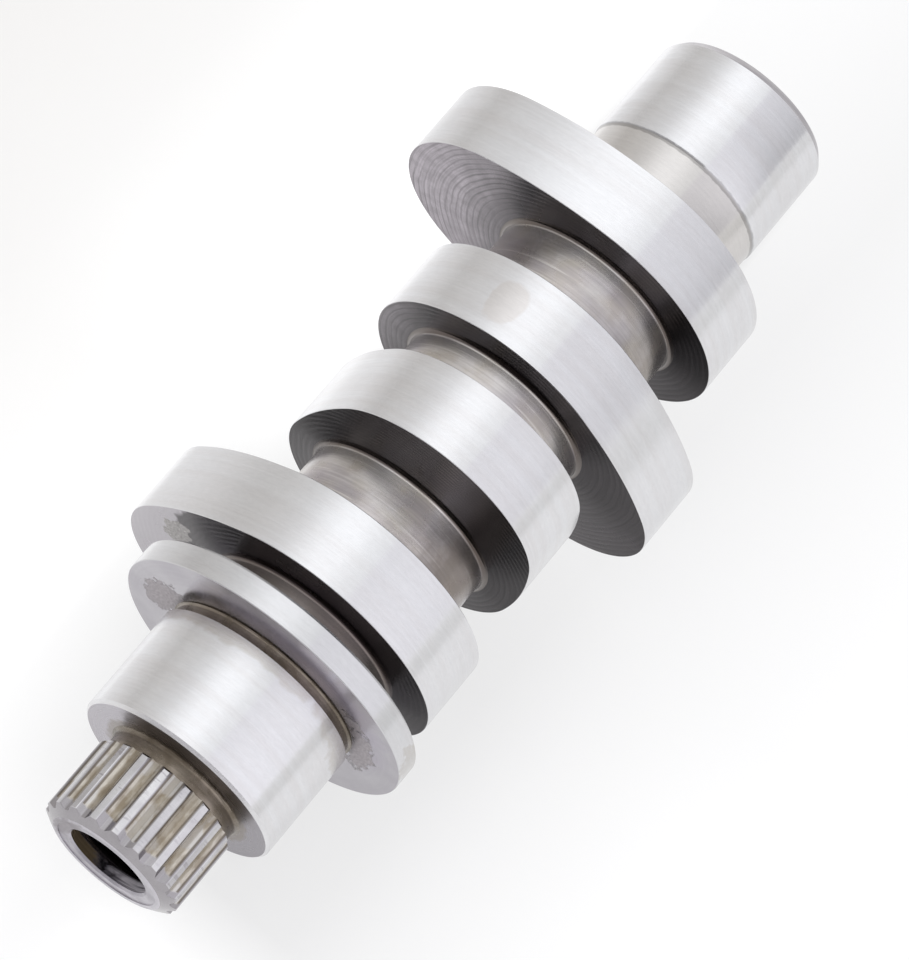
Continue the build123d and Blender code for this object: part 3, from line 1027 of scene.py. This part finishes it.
class CAMSHAFT_OT_body(bpy.types.Operator):
    """Turn the shaft, tap its bolt hole and give each surface its finish"""

    bl_idname = "camshaft.body"
    bl_label = "Model the camshaft"

    def execute(self, context):
        sizes = context.scene.camshaft_sizes
        colours = context.scene.camshaft_colours
        size = {key: getattr(sizes, key) / MM for key, label, words, value in SIZES}
        body = turn_blank(size)
        thread = tap_thread(size)
        bottom = drill_bottom(size)
        for build in MATERIALS:
            body.data.materials.append(make_material(build, colours))
        for part in (thread, bottom):
            part.data.materials.append(body.data.materials["tapped_bore"])
        bpy.ops.object.select_all(action="DESELECT")
        for part in (body, thread, bottom):
            part.select_set(True)
        context.view_layer.objects.active = body
        bpy.ops.object.join()
        bridge_openings(body, 0.3, size["plain_mouth_length"] + 0.1)
        end = size["threaded_length"]
        bridge_openings(body, end - BRIDGE_MARGIN, end + THREAD_RUNOUT + BRIDGE_MARGIN)
        bpy.ops.object.mode_set(mode="EDIT")
        bpy.ops.mesh.select_all(action="SELECT")
        bpy.ops.mesh.normals_make_consistent(inside=False)
        bpy.ops.object.mode_set(mode="OBJECT")
        bpy.ops.object.shade_smooth_by_angle(angle=radians(SMOOTH_ANGLE))
        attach(body, "root")
        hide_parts("camshaft")
        return {"FINISHED"}


class CAMSHAFT_OT_stage(bpy.types.Operator):
    """Set the camera, the studio light and the pale table"""

    bl_idname = "camshaft.stage"
    bl_label = "Set the stage"

    def execute(self, context):
        camera = bpy.data.cameras.new("camera")
        camera.lens = CAMERA_LENS
        camera.sensor_width = CAMERA_SENSOR
        eye = bpy.data.objects.new("camera", camera)
        context.scene.collection.objects.link(eye)
        back = Vector(CAMERA_BACK).normalized()
        up = back.cross(Vector(CAMERA_RIGHT)).normalized()
        turn = Matrix((up.cross(back), up, back)).transposed()
        eye.matrix_world = Matrix.Translation(CAMERA_PLACE) @ turn.to_4x4()
        context.scene.camera = eye
        context.scene.view_settings.view_transform = "Standard"

        bpy.ops.object.select_all(action="DESELECT")
        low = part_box("camshaft")[0].z
        bpy.ops.mesh.primitive_grid_add(x_subdivisions=8, y_subdivisions=8, size=1.0, location=(0.065, 0.0, low))
        table = context.object
        table.name = "table"
        table.data.materials.append(make_material(white_laminate))

        turned = (radians(-136.1), 0, 0)
        wall = hang_sheet("tent_wall", (0.231, -0.27, 0.2875), turned, (1.2, 0.527, 1.0), tent_wall)
        turned = (0, radians(90), 0)
        cloth = hang_sheet("cloth_behind_camera", (-0.3, 0.0, low + 0.8), turned, (1.6, 3.0, 1.0), grey_cloth)
        context.scene.world = studio_world()
        return {"FINISHED"}


class CAMSHAFT_PT_panel(bpy.types.Panel):
    """Lists the camshaft's operators and sizes"""

    bl_idname = "CAMSHAFT_PT_panel"
    bl_label = "Camshaft"
    bl_space_type = "VIEW_3D"
    bl_region_type = "UI"
    bl_category = "Camshaft"

    def draw(self, context):
        column = self.layout.column()
        column.operator("camshaft.body")
        column.operator("camshaft.stage")
        for key, label, words, value in SIZES:
            column.prop(context.scene.camshaft_sizes, key)
        for key, label, words, code in COLOURS:
            column.prop(context.scene.camshaft_colours, key)


CLASSES = (CamshaftSizes, CamshaftColours, CAMSHAFT_OT_body, CAMSHAFT_OT_stage, CAMSHAFT_PT_panel)


def register():
    for item in CLASSES:
        bpy.utils.register_class(item)
    bpy.types.Scene.camshaft_sizes = bpy.props.PointerProperty(type=CamshaftSizes)
    bpy.types.Scene.camshaft_colours = bpy.props.PointerProperty(type=CamshaftColours)


def unregister():
    del bpy.types.Scene.camshaft_colours
    del bpy.types.Scene.camshaft_sizes
    for item in reversed(CLASSES):
        bpy.utils.unregister_class(item)


def main():
    register()
    bpy.ops.camshaft.body()
    bpy.ops.camshaft.stage()


if __name__ == "__main__":
    main()
